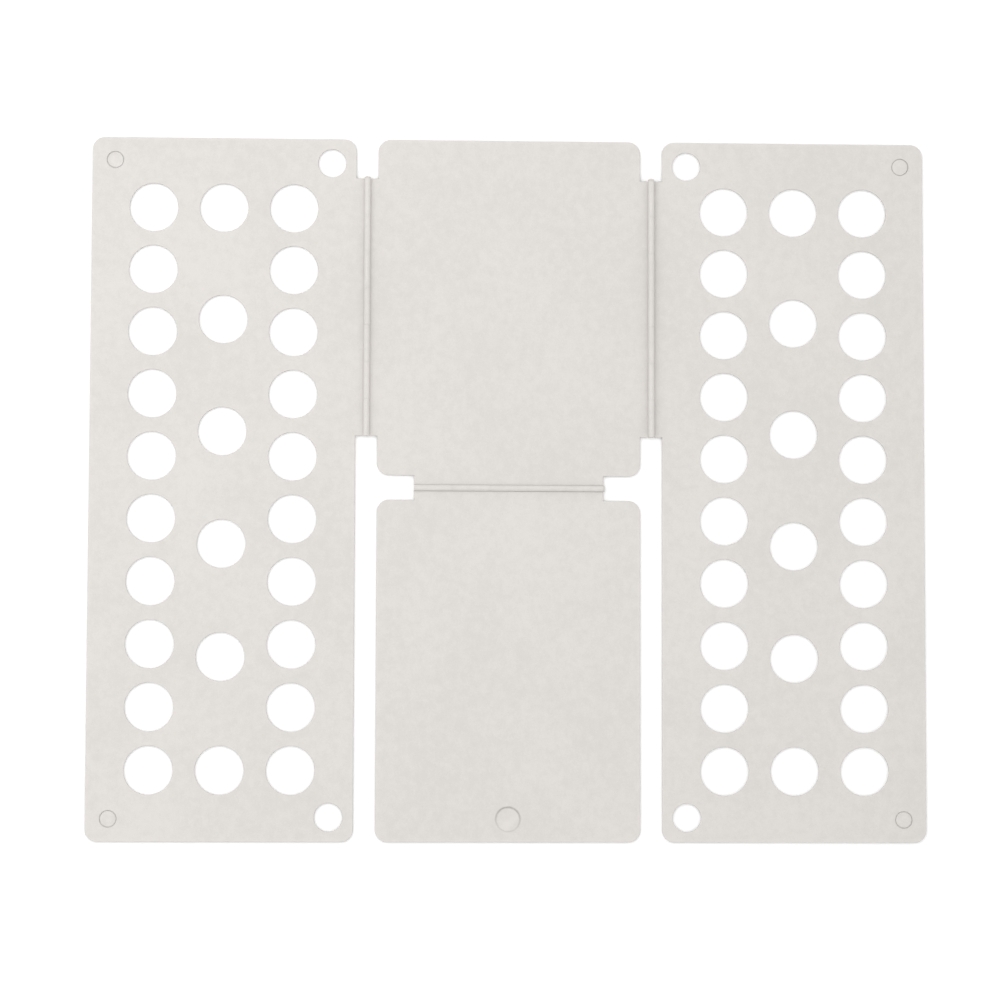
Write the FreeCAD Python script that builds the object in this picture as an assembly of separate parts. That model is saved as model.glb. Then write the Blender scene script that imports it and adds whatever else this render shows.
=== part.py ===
# Shirt folding board: four thin moulded panels joined by three pin-and-knuckle hinges.
#
# Frame: the origin is on the floor under the middle of the board, +X to the right,
# +Y towards the rear edge (the collar edge) and +Z up.  All lengths are in millimetres.
import FreeCAD, Part
import math
import os

from FreeCAD import Placement, Rotation, Vector

# Overall size
BOARD_WIDTH = 700.0
BOARD_HEIGHT = 588.4
SHEET = 1.5                     # panel thickness
FOOT_HEIGHT = 1.2               # the underside of every panel stands this far off the floor
CORNER_RADIUS = 10.0
EDGE_ROUND = 0.6                # moulded round on every panel edge

# Layout of the panels
CENTRE_WIDTH = 220.6
SIDE_GAP = 18.4                 # between a centre panel and a side panel
ROW_GAP = 20.6                  # between the two centre panels
ROW_HINGE_Y = 0.65              # the lower hinge lies this far behind the middle of the board

# Hinges: a headed pin through round knuckles that stand alternately on one panel and on the other
KNUCKLE_RADIUS = 2.6
KNUCKLE_CLEARANCE = 0.15        # between a turning knuckle and the other panel's flange
KNUCKLE_SEAM = 0.1              # gap along the pin between one knuckle and the next
ROOT_WIDTH = 1.8                # each knuckle stands on a narrow root, hidden under its side
FLANGE_SEAM = 0.3               # gap where two flanges meet under a pin
PIN_RADIUS = 1.6
PIN_CLEARANCE = 0.05
PIN_SUNK = 0.4                  # the plain end stays inside the last knuckle
PIN_CHAMFER = 0.4
HEAD_PROUD = 1.5                # the domed head stands out of the first knuckle
HEAD_DOME = 1.2
SIDE_STRAP_INSET = 33.0         # hinge strap ends, from the upper centre panel's corners
ROW_STRAP_INSET = 31.0
SIDE_KNUCKLES = 7
ROW_KNUCKLES = 5

# Heights of the three pins' axes above the panels' top face.  They differ so that the flaps can
# lie on each other when folded: the lower flap first, then the left one, then the right one.
LOWER_PIN_HEIGHT = 0.4
LEFT_PIN_HEIGHT = 1.9
RIGHT_PIN_HEIGHT = 2.8

# Round holes in the side panels
HOLE_RADIUS = 20.3
HOLE_SPAN = 470.4               # first row to last row
OUTER_ROWS = 10
MIDDLE_ROWS = 6
MIDDLE_COLUMN_X = 239.6
COLUMN_PITCH = 58.7
CORNER_HOLE_RADIUS = 11.8
CORNER_HOLE_INSET = (20.5, 20.4)    # from the side panel's inner edge, and from its end edge

# Feet
FOOT_INSET = 19.0               # corner feet, from both outer edges
FOOT_PAD_RADIUS = 7.5
FOOT_WAIST_RADIUS = 4.5
FOOT_HEAD_RADIUS = 6.6
FOOT_RECESS_RADIUS = 7.3
FOOT_RECESS_DEPTH = 0.9
FOOT_HEAD_THICKNESS = 0.6
WIDE_PAD_RADIUS = 9.0
WIDE_WAIST_RADIUS = 6.0
WIDE_HEAD_RADIUS = 10.0
WIDE_HEAD_PROUD = 0.5
PAD_CHAMFER = 0.5
HEAD_CHAMFER = 0.2

# Worked out from the values above
UNDERSIDE = FOOT_HEIGHT
TOP = UNDERSIDE + SHEET
HALF_WIDTH = BOARD_WIDTH / 2
HALF_HEIGHT = BOARD_HEIGHT / 2
HALF_CENTRE = CENTRE_WIDTH / 2
SIDE_HINGE_X = HALF_CENTRE + SIDE_GAP / 2
SIDE_INNER_X = HALF_CENTRE + SIDE_GAP
UPPER_EDGE_Y = ROW_HINGE_Y + ROW_GAP / 2
LOWER_EDGE_Y = ROW_HINGE_Y - ROW_GAP / 2
SIDE_STRAP = HALF_HEIGHT - UPPER_EDGE_Y - 2 * SIDE_STRAP_INSET
SIDE_STRAP_Y = (HALF_HEIGHT + UPPER_EDGE_Y) / 2
ROW_STRAP = CENTRE_WIDTH - 2 * ROW_STRAP_INSET
ROW_HINGE = Placement(Vector(0, ROW_HINGE_Y, TOP + LOWER_PIN_HEIGHT), Rotation(Vector(0, 0, 1), 180))
LEFT_HINGE = Placement(Vector(-SIDE_HINGE_X, SIDE_STRAP_Y, TOP + LEFT_PIN_HEIGHT),
                       Rotation(Vector(0, 0, 1), 90))
RIGHT_HINGE = Placement(Vector(SIDE_HINGE_X, SIDE_STRAP_Y, TOP + RIGHT_PIN_HEIGHT),
                        Rotation(Vector(0, 0, 1), -90))


def rectangle(low_x, high_x, low_y, high_y):
    """A flat rectangle at the underside of the panels."""
    corner = Vector(low_x, low_y, UNDERSIDE)
    return Part.makePlane(high_x - low_x, high_y - low_y, corner)


def rounded_rectangle(low_x, high_x, low_y, high_y, radius):
    """A flat rectangle with round corners at the underside of the panels."""
    straights = []
    corners = []
    centres = [(high_x - radius, high_y - radius), (low_x + radius, high_y - radius),
               (low_x + radius, low_y + radius), (high_x - radius, low_y + radius)]
    for quarter, (x, y) in enumerate(centres):
        circle = Part.Circle(Vector(x, y, UNDERSIDE), Vector(0, 0, 1), radius)
        start = quarter * math.pi / 2
        corners.append(Part.Arc(circle, start, start + math.pi / 2).toShape())
    for number, corner in enumerate(corners):
        begin = corner.Vertexes[-1].Point
        end = corners[(number + 1) % 4].Vertexes[0].Point
        straights.append(Part.LineSegment(begin, end).toShape())
    edges = [edge for pair in zip(corners, straights) for edge in pair]
    return Part.Face(Part.Wire(edges))


def plate(outline, holes):
    """Extrude an outline to the sheet's thickness, cut round holes and round every edge."""
    solid = outline.extrude(Vector(0, 0, SHEET))
    if holes:
        solid = solid.cut(Part.makeCompound(holes))
    flat_edges = [edge for edge in solid.Edges if edge.BoundBox.ZLength < SHEET / 2]
    return solid.makeFillet(EDGE_ROUND, flat_edges)


def hole(x, y, radius):
    """A cylinder that cuts right through a panel."""
    return Part.makeCylinder(radius, 3 * SHEET, Vector(x, y, UNDERSIDE - SHEET))


def knuckle_spans(length, count):
    """The stretches along a hinge, as (start, end) pairs about its middle."""
    pitch = length / count
    return [(-length / 2 + n * pitch, -length / 2 + (n + 1) * pitch) for n in range(count)]


def along_pin(radius, start, end):
    """A cylinder about the hinge's axis, which runs along X through the origin."""
    return Part.makeCylinder(radius, end - start, Vector(start, 0, 0), Vector(1, 0, 0))


def knuckle(start, end, pin_height, side):
    """One knuckle before it is bored: a cylinder on a straight root down into its own flange.

    side is +1 for the flap, whose flange lies towards +Y, and -1 for the fixed panel.
    """
    root_depth = pin_height + SHEET / 2
    root = Part.makeBox(end - start, ROOT_WIDTH, root_depth)
    root_y = FLANGE_SEAM / 2 if side > 0 else -FLANGE_SEAM / 2 - ROOT_WIDTH
    root.translate(Vector(start, root_y, -root_depth))
    return along_pin(KNUCKLE_RADIUS, start, end).fuse(root)


def add_hinge_half(panel, hinge, length, count, pin_height, side):
    """Clear one panel's flange where the other panel's knuckles turn, and add its own."""
    half_seam = KNUCKLE_SEAM / 2
    spans = knuckle_spans(length, count)
    own, other = (spans[1::2], spans[0::2]) if side > 0 else (spans[0::2], spans[1::2])
    knuckles = [knuckle(start + half_seam, end - half_seam, pin_height, side) for start, end in own]
    sweep_radius = KNUCKLE_RADIUS + KNUCKLE_CLEARANCE
    sweeps = [along_pin(sweep_radius, start - half_seam, end + half_seam) for start, end in other]
    bore = along_pin(PIN_RADIUS + PIN_CLEARANCE, -length, length)
    for tool in knuckles + sweeps + [bore]:
        tool.Placement = hinge.multiply(tool.Placement)
    return panel.cut(sweeps).fuse(knuckles).cut(bore).removeSplitter()


def row_groove():
    """A narrow groove in the straps' top face along both sides of the low row hinge."""
    reach = KNUCKLE_RADIUS + KNUCKLE_CLEARANCE
    above_mid_sheet = Part.makeBox(ROW_STRAP, 2 * reach, 2 * reach)
    above_mid_sheet.translate(Vector(-ROW_STRAP / 2, -reach, -LOWER_PIN_HEIGHT - SHEET / 2))
    groove = along_pin(reach, -ROW_STRAP / 2, ROW_STRAP / 2).common(above_mid_sheet)
    groove.Placement = ROW_HINGE.multiply(groove.Placement)
    return groove


def hinge_pin(hinge, length, head_at_start):
    """A pin with a domed head outside the first knuckle and a plain end inside the last one."""
    head_face = -length / 2 - KNUCKLE_SEAM / 2
    head = along_pin(KNUCKLE_RADIUS, -length / 2 - HEAD_PROUD, head_face)
    outer_edge = min(head.Edges, key=lambda edge: edge.CenterOfMass.x)
    head = head.makeFillet(HEAD_DOME, [outer_edge])
    shank = along_pin(PIN_RADIUS, head_face, length / 2 - PIN_SUNK)
    plain_edge = max(shank.Edges, key=lambda edge: edge.CenterOfMass.x)
    pin = head.fuse(shank.makeChamfer(PIN_CHAMFER, [plain_edge]))
    if not head_at_start:
        pin.rotate(Vector(0, 0, 0), Vector(0, 0, 1), 180)
    pin.Placement = hinge.multiply(pin.Placement)
    return pin


def revolve_profile(points, x, y):
    """Turn a closed outline of (radius, height) points about a vertical axis."""
    corners = [Vector(radius, 0, height) for radius, height in points]
    wire = Part.makePolygon(corners + corners[:1])
    solid = Part.Face(wire).revolve(Vector(0, 0, 0), Vector(0, 0, 1), 360)
    solid.translate(Vector(x, y, UNDERSIDE))
    return solid


def foot(x, y, pad_radius, waist_radius, head_radius, head_bottom, head_top):
    """A soft push-in foot: a pad under the sheet, a waist through it and a head above."""
    return revolve_profile([
        (0, -FOOT_HEIGHT),
        (pad_radius - PAD_CHAMFER, -FOOT_HEIGHT),
        (pad_radius, -FOOT_HEIGHT + PAD_CHAMFER),
        (pad_radius, 0),
        (waist_radius, 0),
        (waist_radius, head_bottom),
        (head_radius, head_bottom),
        (head_radius, head_top - HEAD_CHAMFER),
        (head_radius - HEAD_CHAMFER, head_top),
        (0, head_top),
    ], x, y)


def corner_foot(x, y):
    """The foot in a side panel's outer corner, with its head sunk in a round recess."""
    head_bottom = SHEET - FOOT_RECESS_DEPTH
    return foot(x, y, FOOT_PAD_RADIUS, FOOT_WAIST_RADIUS, FOOT_HEAD_RADIUS,
                head_bottom, head_bottom + FOOT_HEAD_THICKNESS)


def wide_foot(x, y):
    """The foot near the lower flap's free edge, with its head on top of the sheet."""
    return foot(x, y, WIDE_PAD_RADIUS, WIDE_WAIST_RADIUS, WIDE_HEAD_RADIUS,
                SHEET, SHEET + WIDE_HEAD_PROUD)


def row_positions(count):
    """Hole centres along Y, spread evenly over the span."""
    return [HOLE_SPAN / 2 - n * HOLE_SPAN / (count - 1) for n in range(count)]


def foot_positions(side):
    """The rear and front foot of one side panel."""
    x = side * (HALF_WIDTH - FOOT_INSET)
    y = HALF_HEIGHT - FOOT_INSET
    return [(x, y), (x, -y)]


def side_panel(side, hinge, pin_height):
    """A perforated side flap; side is -1 for the left one and +1 for the right one."""
    inner, outer = side * SIDE_INNER_X, side * HALF_WIDTH
    sheet = rounded_rectangle(min(inner, outer), max(inner, outer), -HALF_HEIGHT, HALF_HEIGHT,
                              CORNER_RADIUS)
    butt = side * (SIDE_HINGE_X + FLANGE_SEAM / 2)
    root = side * (SIDE_INNER_X + CORNER_RADIUS)
    strap = rectangle(min(butt, root), max(butt, root),
                      SIDE_STRAP_Y - SIDE_STRAP / 2, SIDE_STRAP_Y + SIDE_STRAP / 2)
    outline = sheet.fuse(strap).removeSplitter().Faces[0]

    columns = [(MIDDLE_COLUMN_X - COLUMN_PITCH, OUTER_ROWS), (MIDDLE_COLUMN_X, MIDDLE_ROWS),
               (MIDDLE_COLUMN_X + COLUMN_PITCH, OUTER_ROWS)]
    holes = [hole(side * x, y, HOLE_RADIUS) for x, rows in columns for y in row_positions(rows)]
    corner_x = side * (SIDE_INNER_X + CORNER_HOLE_INSET[0])
    corner_y = HALF_HEIGHT - CORNER_HOLE_INSET[1]
    holes += [hole(corner_x, y, CORNER_HOLE_RADIUS) for y in (corner_y, -corner_y)]
    panel = plate(outline, holes)

    for x, y in foot_positions(side):
        recess = Part.makeCylinder(FOOT_RECESS_RADIUS, SHEET, Vector(x, y, TOP - FOOT_RECESS_DEPTH))
        panel = panel.cut([recess, hole(x, y, FOOT_WAIST_RADIUS)])
    return add_hinge_half(panel, hinge, SIDE_STRAP, SIDE_KNUCKLES, pin_height, 1)


def upper_centre_panel():
    """The fixed panel: a plain sheet with hinge straps on three sides and pads underneath."""
    outline = rounded_rectangle(-HALF_CENTRE, HALF_CENTRE, UPPER_EDGE_Y, HALF_HEIGHT, CORNER_RADIUS)
    reach = SIDE_HINGE_X - FLANGE_SEAM / 2
    side_straps = rectangle(-reach, reach, SIDE_STRAP_Y - SIDE_STRAP / 2, SIDE_STRAP_Y + SIDE_STRAP / 2)
    row_strap = rectangle(-ROW_STRAP / 2, ROW_STRAP / 2, ROW_HINGE_Y + FLANGE_SEAM / 2,
                          UPPER_EDGE_Y + CORNER_RADIUS)
    panel = plate(outline.fuse([side_straps, row_strap]).removeSplitter().Faces[0], [])

    pad_x = HALF_CENTRE - FOOT_INSET
    pads = [moulded_pad(x, y) for x in (-pad_x, pad_x)
            for y in (UPPER_EDGE_Y + FOOT_INSET, HALF_HEIGHT - FOOT_INSET)]
    panel = panel.fuse(pads)
    panel = add_hinge_half(panel, LEFT_HINGE, SIDE_STRAP, SIDE_KNUCKLES, LEFT_PIN_HEIGHT, -1)
    panel = add_hinge_half(panel, RIGHT_HINGE, SIDE_STRAP, SIDE_KNUCKLES, RIGHT_PIN_HEIGHT, -1)
    panel = panel.cut(row_groove())
    return add_hinge_half(panel, ROW_HINGE, ROW_STRAP, ROW_KNUCKLES, LOWER_PIN_HEIGHT, -1)


def moulded_pad(x, y):
    """A round pad moulded under the fixed panel, as high as the feet."""
    pad = Part.makeCylinder(FOOT_PAD_RADIUS, FOOT_HEIGHT + SHEET / 2, Vector(x, y, 0))
    rim = [edge for edge in pad.Edges if edge.BoundBox.ZMax < SHEET / 2]
    return pad.makeChamfer(PAD_CHAMFER, rim)


def lower_centre_panel():
    """The lower flap: a plain sheet with one hinge strap and a hole for its foot."""
    outline = rounded_rectangle(-HALF_CENTRE, HALF_CENTRE, -HALF_HEIGHT, LOWER_EDGE_Y, CORNER_RADIUS)
    strap = rectangle(-ROW_STRAP / 2, ROW_STRAP / 2, LOWER_EDGE_Y - CORNER_RADIUS,
                      ROW_HINGE_Y - FLANGE_SEAM / 2)
    panel = plate(outline.fuse(strap).removeSplitter().Faces[0], [])
    panel = panel.cut([hole(0, FOOT_INSET - HALF_HEIGHT, WIDE_WAIST_RADIUS), row_groove()])
    return add_hinge_half(panel, ROW_HINGE, ROW_STRAP, ROW_KNUCKLES, LOWER_PIN_HEIGHT, 1)


def all_parts():
    """Every piece of the board by name."""
    parts = {
        "upper_centre_panel": upper_centre_panel(),
        "lower_centre_panel": lower_centre_panel(),
        "left_panel": side_panel(-1, LEFT_HINGE, LEFT_PIN_HEIGHT),
        "right_panel": side_panel(1, RIGHT_HINGE, RIGHT_PIN_HEIGHT),
        "left_hinge_pin": hinge_pin(LEFT_HINGE, SIDE_STRAP, False),
        "right_hinge_pin": hinge_pin(RIGHT_HINGE, SIDE_STRAP, True),
        "lower_hinge_pin": hinge_pin(ROW_HINGE, ROW_STRAP, True),
        "lower_panel_foot": wide_foot(0, FOOT_INSET - HALF_HEIGHT),
    }
    for name, side in (("left", -1), ("right", 1)):
        for end, (x, y) in zip(("rear", "front"), foot_positions(side)):
            parts[name + "_" + end + "_foot"] = corner_foot(x, y)
    return parts


os.makedirs("parts", exist_ok=True)
for part_name, shape in all_parts().items():
    shape.exportStep("parts/" + part_name + ".step")
    print(part_name, len(shape.Solids), round(shape.Volume), shape.isValid())
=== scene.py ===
import math

import bpy
from mathutils import Matrix, Vector


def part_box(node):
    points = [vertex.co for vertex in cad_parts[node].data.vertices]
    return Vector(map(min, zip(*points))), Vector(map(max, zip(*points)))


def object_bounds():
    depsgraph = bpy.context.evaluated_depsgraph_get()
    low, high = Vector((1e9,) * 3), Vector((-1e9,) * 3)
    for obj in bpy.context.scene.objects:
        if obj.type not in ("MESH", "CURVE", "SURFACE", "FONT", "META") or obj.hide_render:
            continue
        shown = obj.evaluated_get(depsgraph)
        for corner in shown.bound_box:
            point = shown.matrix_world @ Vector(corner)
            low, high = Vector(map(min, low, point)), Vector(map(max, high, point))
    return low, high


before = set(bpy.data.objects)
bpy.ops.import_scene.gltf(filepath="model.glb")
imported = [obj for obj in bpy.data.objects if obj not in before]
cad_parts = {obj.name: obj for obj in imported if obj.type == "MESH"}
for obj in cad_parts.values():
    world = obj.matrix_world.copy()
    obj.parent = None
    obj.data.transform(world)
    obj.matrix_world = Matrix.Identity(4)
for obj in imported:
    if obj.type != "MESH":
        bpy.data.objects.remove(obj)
cad_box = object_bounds()

MM = 0.001

PANELS = ("upper_centre_panel", "lower_centre_panel", "left_panel", "right_panel")
PINS = ("left_hinge_pin", "right_hinge_pin", "lower_hinge_pin")
FEET = ("left_rear_foot", "left_front_foot", "right_rear_foot", "right_front_foot",
        "lower_panel_foot")

SHEET_TOP = 2.75 * MM                       # just above the panels' top face
RUBBED_WIDTH = 3.5 * MM                     # handled rim round each panel
SHADE_RING_WIDTH = 1.5 * MM                      # painted shade ring round the wide foot's head

# Camera: a long lens almost straight above the open board, a little to its left and front
LENS_MM = 109.1
CAMERA_OFFSET = (-0.099, -0.172, 2.503)     # from the point it looks at
LOOK_AT = (-0.0115, -0.0051)                # level with the heads of the corner feet
CAMERA_ROLL = 0.175                         # degrees

# Studio: a wide box to the rear left, a faint low fill from the front right and an even sky
FLOOR_SIDE = 14
BOX_PLACE = (-0.65, 0.4, 1.4)
BOX_SIDE = 2.4
BOX_POWER = 15
FILL_DIRECTION = (0.62, -0.5, 0.6)
FILL_SPREAD = 50                            # degrees
FILL_STRENGTH = 0.3
SKY_STRENGTH = 0.88

# Colours, as screen levels
PANEL_LIGHT = (208, 204, 200)
PANEL_DARK = (201, 198, 194)
PIN_LIGHT = (209, 205, 201)
PIN_DARK = (202, 199, 195)
FOOT_LIGHT = (211, 207, 203)
FOOT_DARK = (204, 200, 196)
# painted shade, laid on the rounded panel edges and round the wide foot's head
PAINTED_SHADE = (166, 162, 157)
FLOOR_LIGHT = (254, 254, 254)
FLOOR_DARK = (252, 252, 252)

# Surface detail, as noise cells per metre
FLOW_SCALE = 9.0
MOTTLING_SCALE = 140.0
SPECKLE_SCALE = 900.0
RUBBED_SCALE = 45.0
# patchiness of the painted shade on the rounded panel edges
EDGE_SHADE_SCALE = 70.0
# patchiness of the painted shade round the wide foot's head
SHADE_RING_SCALE = 500.0
GLOSS_SCALE = 60.0
WAVE_SCALE = 5.0
GRAIN_SCALE = 2600.0
SCRATCH_PATCH_SCALE = 11.0
SCRATCHES = ((28, 14.0, 1900.0, 0.66), (-61, 10.0, 1500.0, 0.67))   # see Finish.scratches
PIN_CLOUD_SCALE = 70.0
PIN_GLOSS_SCALE = 150.0
PIN_SKIN_SCALE = 1800.0
FOOT_CLOUD_SCALE = 180.0
FOOT_SPECK_SCALE = 1500.0
FOOT_GLOSS_SCALE = 400.0
FOOT_SKIN_SCALE = 3200.0
PAPER_SCALE = 30.0

# Light scattered inside the plastic and the rubber
SCATTER_SHARES = (1.0, 0.95, 0.85)
PLASTIC_SCATTER = 1.5 * MM
RUBBER_SCATTER = 2 * MM


def srgb(levels):
    """A colour given as 0 to 255 screen levels, as linear light with full alpha."""
    linear = []
    for level in levels:
        share = level / 255
        linear.append(share / 12.92 if share <= 0.04045 else ((share + 0.055) / 1.055) ** 2.4)
    return (*linear, 1.0)


class Finish:
    """A material and short ways to add the nodes that give it grain, marks and wear."""

    def __init__(self, name):
        self.material = bpy.data.materials.new(name)
        self.material.use_nodes = True
        self.tree = self.material.node_tree
        self.shader = self.tree.nodes["Principled BSDF"]
        self.coords = self.tree.nodes.new("ShaderNodeTexCoord").outputs["Object"]
        self.colour = None
        self.normal = None

    def set(self, **values):
        """Set the shader's own sockets, named with underscores for spaces."""
        for name, value in values.items():
            self.shader.inputs[name.replace("_", " ")].default_value = value

    def put(self, socket, value):
        """Link an output, or set a number, on a node's input."""
        if isinstance(value, bpy.types.NodeSocket):
            self.tree.links.new(value, socket)
        else:
            socket.default_value = value

    def combine(self, operation, first, second=0.0, clamp=False):
        """Arithmetic on two outputs or numbers, or on the first alone."""
        node = self.tree.nodes.new("ShaderNodeMath")
        node.operation = operation
        node.use_clamp = clamp
        self.put(node.inputs[0], first)
        self.put(node.inputs[1], second)
        return node.outputs[0]

    def blend(self, *parts):
        """The sum of (output, share) pairs."""
        shares = [self.combine("MULTIPLY", output, share) for output, share in parts]
        total = shares[0]
        for share in shares[1:]:
            total = self.combine("ADD", total, share)
        return total

    def stretched(self, scale, turn=0.0):
        """Coordinates scaled along each axis, after a turn about the vertical in degrees."""
        node = self.tree.nodes.new("ShaderNodeMapping")
        self.put(node.inputs["Vector"], self.coords)
        node.inputs["Rotation"].default_value = (0, 0, math.radians(turn))
        node.inputs["Scale"].default_value = scale
        return node.outputs["Vector"]

    def noise(self, scale, detail=2.0, roughness=0.5, vector=None):
        """A noise of that many cells per metre, in the object's own space unless told otherwise."""
        node = self.tree.nodes.new("ShaderNodeTexNoise")
        self.put(node.inputs["Vector"], self.coords if vector is None else vector)
        node.inputs["Scale"].default_value = scale
        node.inputs["Detail"].default_value = detail
        node.inputs["Roughness"].default_value = roughness
        return node.outputs["Fac"]

    def split(self, vector):
        """The three components of a vector output."""
        node = self.tree.nodes.new("ShaderNodeSeparateXYZ")
        self.put(node.inputs[0], vector)
        return node.outputs

    def step(self, value, low, high, out_low=0.0, out_high=1.0):
        """A smooth step of a value between two levels."""
        node = self.tree.nodes.new("ShaderNodeMapRange")
        node.interpolation_type = "SMOOTHSTEP"
        self.put(node.inputs["Value"], value)
        limits = {"From Min": low, "From Max": high, "To Min": out_low, "To Max": out_high}
        for name, number in limits.items():
            node.inputs[name].default_value = number
        return node.outputs["Result"]

    def colour_between(self, factor, first, second):
        """Colour the surface by mixing two screen colours, or an output and a screen colour."""
        node = self.tree.nodes.new("ShaderNodeMix")
        node.data_type = "RGBA"
        self.put(node.inputs[0], factor)
        self.put(node.inputs[6], first if isinstance(first, bpy.types.NodeSocket) else srgb(first))
        self.put(node.inputs[7], srgb(second))
        self.colour = node.outputs[2]
        self.put(self.shader.inputs["Base Color"], self.colour)

    def tint(self, mask, colour):
        """Lay a screen colour over the surface where the mask is 1."""
        self.colour_between(mask, self.colour, colour)

    def bump(self, height, depth, strength=1.0):
        """Add a bump of that depth in metres on top of those before it."""
        node = self.tree.nodes.new("ShaderNodeBump")
        node.inputs["Strength"].default_value = strength
        node.inputs["Distance"].default_value = depth
        self.put(node.inputs["Height"], height)
        if self.normal is not None:
            self.put(node.inputs["Normal"], self.normal)
        self.normal = node.outputs["Normal"]
        self.put(self.shader.inputs["Normal"], self.normal)

    def scratches(self, turn, length_scale, width_scale, sparsity):
        """Thin faint lines along one direction, from a noise stretched hard along them.

        turn is their direction in degrees, the scales are the noise cells per metre along and
        across them, and a higher sparsity leaves fewer of them.
        """
        streaks = self.noise(1.0, 1.0, vector=self.stretched((length_scale, width_scale, 1.0), turn))
        turned = self.stretched((1, 1, 1), turn + 20)
        patches = self.step(self.noise(SCRATCH_PATCH_SCALE, 1.0, vector=turned), 0.5, 0.62)
        return self.combine("MULTIPLY", self.step(streaks, sparsity, sparsity + 0.05), patches)

    def edge_band(self, low, high, width):
        """1 at the rim of the box from low to high, seen from above, and 0 further in than width."""
        place = self.split(self.coords)
        depths = []
        for axis in (0, 1):
            middle = (low[axis] + high[axis]) / 2
            half = (high[axis] - low[axis]) / 2
            offset = self.combine("ABSOLUTE", self.combine("SUBTRACT", place[axis], middle))
            depths.append(self.combine("SUBTRACT", half, offset))
        return self.step(self.combine("MINIMUM", *depths), 0.0, width, 1.0, 0.0)

    def sloped(self, below):
        """1 where the surface leans away from level, as on rounded edges, up to a height."""
        facing = self.split(self.tree.nodes.new("ShaderNodeTexCoord").outputs["Normal"])
        low_enough = self.combine("LESS_THAN", self.split(self.coords)[2], below)
        level = self.combine("ABSOLUTE", facing[2])
        return self.combine("MULTIPLY", self.step(level, 0.2, 0.97, 1.0, 0.0), low_enough)

    def ring(self, centre, radius, width):
        """A circle about a vertical line, fading to 0 over a width on each side of it.

        It is 0.9 at the rear of the circle and falls smoothly to 0.15 at the front.
        """
        place = self.split(self.coords)
        across = self.combine("SUBTRACT", place[0], centre.x)
        along = self.combine("SUBTRACT", place[1], centre.y)
        squares = self.combine("ADD", self.combine("MULTIPLY", across, across),
                               self.combine("MULTIPLY", along, along))
        distance = self.combine("SQRT", squares)
        offset = self.combine("ABSOLUTE", self.combine("SUBTRACT", distance, radius))
        circle = self.step(offset, 0.0, width, 1.0, 0.0)
        return self.combine("MULTIPLY", circle, self.step(along, -radius, radius, 0.15, 0.9))


def foot_shade_ring(finish):
    """Painted shade round the rim of the wide foot, darkest on its rear side and broken up patchily."""
    low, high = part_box("lower_panel_foot")
    ring = finish.ring((low + high) / 2, (high.x - low.x) / 2, SHADE_RING_WIDTH)
    patchy = finish.step(finish.noise(SHADE_RING_SCALE, 2.0), 0.2, 0.6, 0.6, 1.0)
    finish.tint(finish.combine("MULTIPLY", ring, patchy), PAINTED_SHADE)


def panel_plastic(node):
    """Satin moulded sheet: fine grain, faint flow mottling, handling marks and painted shade on the
    rounded edges.
    """
    finish = Finish(node + "_plastic")
    finish.set(Specular_IOR_Level=0.42, Subsurface_Weight=0.2, Subsurface_Scale=PLASTIC_SCATTER,
               Subsurface_Radius=SCATTER_SHARES, IOR=1.49)
    low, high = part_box(node)
    flow = finish.noise(FLOW_SCALE, 3.0)
    mottling = finish.noise(MOTTLING_SCALE, 3.0, 0.6)
    speckle = finish.noise(SPECKLE_SCALE, 2.0)
    rim_band = finish.edge_band(low, high, RUBBED_WIDTH)
    rim = finish.combine("MULTIPLY", rim_band, finish.noise(RUBBED_SCALE, 3.0))
    tone = finish.blend((flow, 0.3), (mottling, 0.4), (speckle, 0.3))
    tone = finish.combine("ADD", finish.step(tone, 0.36, 0.64), finish.combine("MULTIPLY", rim, 0.5))
    finish.colour_between(finish.combine("MULTIPLY", tone, 1.0, clamp=True), PANEL_DARK, PANEL_LIGHT)
    # painted shade on the rounded edges, broken up patchily
    patchy = finish.step(finish.noise(EDGE_SHADE_SCALE, 3.0), 0.3, 0.6, 0.6, 1.0)
    finish.tint(finish.combine("MULTIPLY", finish.sloped(SHEET_TOP), patchy), PAINTED_SHADE)
    # painted shade round the wide foot's head
    if node == "lower_centre_panel":
        foot_shade_ring(finish)

    marks = finish.combine("MAXIMUM", *[finish.scratches(*scratch) for scratch in SCRATCHES])
    rough = finish.step(finish.noise(GLOSS_SCALE, 3.0), 0.3, 0.7, 0.44, 0.54)
    rough = finish.combine("SUBTRACT", rough, finish.combine("MULTIPLY", marks, 0.1))
    rough = finish.combine("SUBTRACT", rough, finish.combine("MULTIPLY", rim, 0.1))
    finish.put(finish.shader.inputs["Roughness"], rough)

    finish.bump(finish.noise(WAVE_SCALE, 1.0), 0.7 * MM, 0.6)
    finish.bump(finish.noise(GRAIN_SCALE, 2.0, 0.6), 0.02 * MM, 0.5)
    finish.bump(marks, -0.01 * MM, 0.5)
    return finish.material


def pin_plastic():
    """Smooth pin with a finely pitted, slightly polished skin."""
    finish = Finish("pin_plastic")
    finish.set(Specular_IOR_Level=0.45, Subsurface_Weight=0.2, Subsurface_Scale=PLASTIC_SCATTER,
               Subsurface_Radius=SCATTER_SHARES, IOR=1.49)
    cloud = finish.step(finish.noise(PIN_CLOUD_SCALE, 3.0), 0.35, 0.65)
    finish.colour_between(cloud, PIN_DARK, PIN_LIGHT)
    rough = finish.step(finish.noise(PIN_GLOSS_SCALE, 2.0), 0.3, 0.7, 0.34, 0.46)
    finish.put(finish.shader.inputs["Roughness"], rough)
    finish.bump(finish.noise(PIN_SKIN_SCALE, 2.0), 0.008 * MM, 0.5)
    return finish.material


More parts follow.
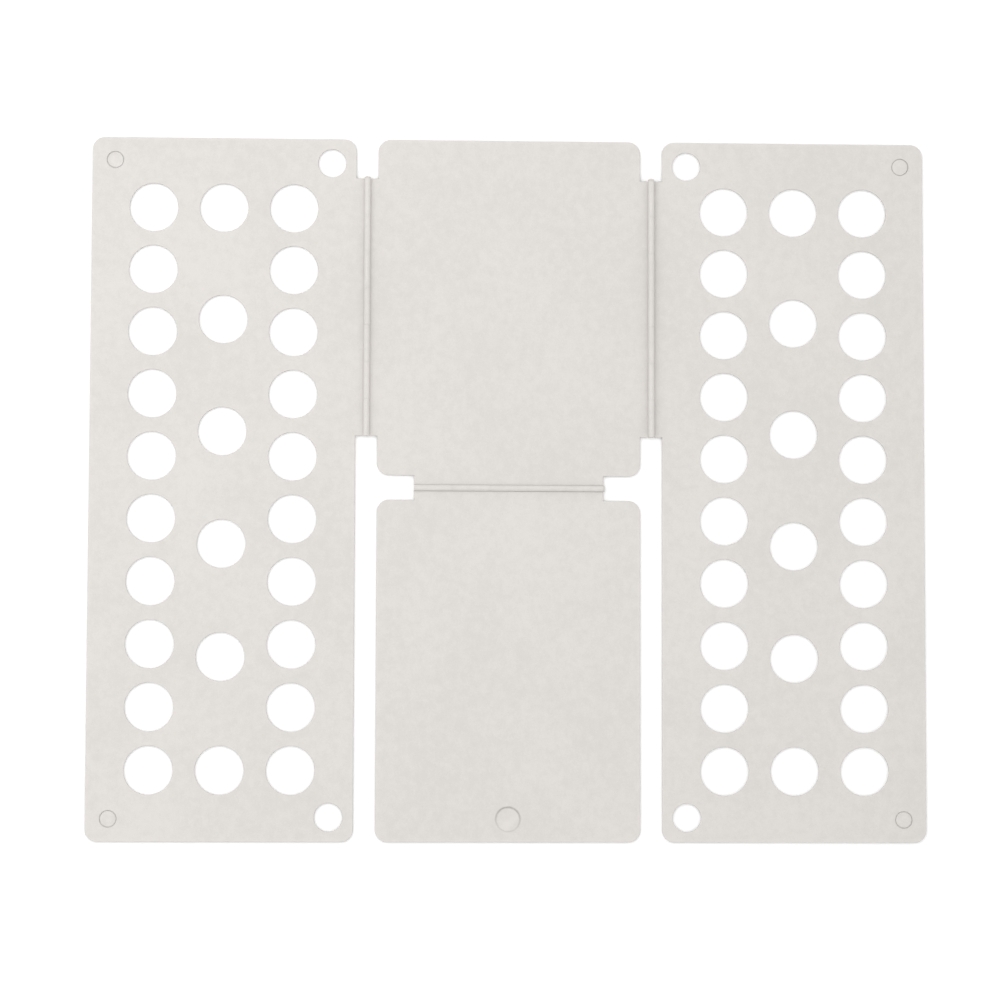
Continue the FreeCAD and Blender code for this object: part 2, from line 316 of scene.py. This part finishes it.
def foot_rubber():
    """Soft matte foot: cloudy colour, a dusty bloom and a fine eroded skin."""
    finish = Finish("foot_rubber")
    finish.set(Specular_IOR_Level=0.3, Subsurface_Weight=0.25, Subsurface_Scale=RUBBER_SCATTER,
               Subsurface_Radius=SCATTER_SHARES, Sheen_Weight=0.1, Sheen_Roughness=0.5)
    cloud = finish.blend((finish.noise(FOOT_CLOUD_SCALE, 3.0), 0.7),
                         (finish.noise(FOOT_SPECK_SCALE, 2.0), 0.3))
    finish.colour_between(finish.step(cloud, 0.35, 0.65), FOOT_DARK, FOOT_LIGHT)
    rough = finish.step(finish.noise(FOOT_GLOSS_SCALE, 3.0), 0.3, 0.7, 0.6, 0.74)
    finish.put(finish.shader.inputs["Roughness"], rough)
    finish.bump(finish.noise(FOOT_SKIN_SCALE, 3.0, 0.6), 0.02 * MM, 0.6)
    # painted shade round the wide foot's head
    foot_shade_ring(finish)
    return finish.material


def floor_white():
    """A plain matte white surface with the faintest paper tooth."""
    finish = Finish("floor_white")
    finish.set(Roughness=0.9, Specular_IOR_Level=0.1)
    finish.colour_between(finish.noise(PAPER_SCALE, 3.0), FLOOR_DARK, FLOOR_LIGHT)
    return finish.material


def paint(node, material):
    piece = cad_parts[node]
    piece.data.materials.clear()
    piece.data.materials.append(material)


def add_floor():
    bpy.ops.mesh.primitive_plane_add(size=FLOOR_SIDE, location=(0, 0, cad_box[0].z))
    floor = bpy.context.object
    floor.name = "floor"
    floor.data.materials.append(floor_white())


def add_camera():
    head_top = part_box("left_rear_foot")[1].z
    target = Vector((*LOOK_AT, head_top))
    ahead = -Vector(CAMERA_OFFSET).normalized()
    right = ahead.cross(Vector((0, 1, 0))).normalized()
    up = right.cross(ahead)
    turn = Matrix((right, up, -ahead)).transposed() @ Matrix.Rotation(math.radians(CAMERA_ROLL), 3, "Z")
    data = bpy.data.cameras.new("camera")
    data.lens = LENS_MM
    data.clip_end = 20
    camera = bpy.data.objects.new("camera", data)
    bpy.context.scene.collection.objects.link(camera)
    camera.matrix_world = Matrix.Translation(target + Vector(CAMERA_OFFSET)) @ turn.to_4x4()
    bpy.context.scene.camera = camera


def soft_box(name, place, side, power):
    """A square area light aimed at the middle of the board."""
    data = bpy.data.lights.new(name, "AREA")
    data.shape = "SQUARE"
    data.size = side
    data.energy = power
    lamp = bpy.data.objects.new(name, data)
    lamp.location = place
    lamp.rotation_euler = (-Vector(place)).to_track_quat("-Z", "Y").to_euler()
    bpy.context.scene.collection.objects.link(lamp)


def far_light(name, direction, spread, strength):
    """An even, soft light from far away, coming from that direction."""
    data = bpy.data.lights.new(name, "SUN")
    data.angle = math.radians(spread)
    data.energy = strength
    lamp = bpy.data.objects.new(name, data)
    lamp.rotation_euler = (-Vector(direction)).to_track_quat("-Z", "Y").to_euler()
    bpy.context.scene.collection.objects.link(lamp)


def add_studio_light():
    soft_box("overhead_box", BOX_PLACE, BOX_SIDE, BOX_POWER)
    far_light("low_fill", FILL_DIRECTION, FILL_SPREAD, FILL_STRENGTH)
    world = bpy.data.worlds.new("studio")
    world.use_nodes = True
    sky = world.node_tree.nodes["Background"]
    sky.inputs["Color"].default_value = (1, 1, 1, 1)
    sky.inputs["Strength"].default_value = SKY_STRENGTH
    bpy.context.scene.world = world
    bpy.context.scene.view_settings.view_transform = "Standard"


for panel in PANELS:
    paint(panel, panel_plastic(panel))
pin_finish = pin_plastic()
for pin in PINS:
    paint(pin, pin_finish)
foot_finish = foot_rubber()
for foot in FEET:
    paint(foot, foot_finish)
add_floor()
add_camera()
add_studio_light()
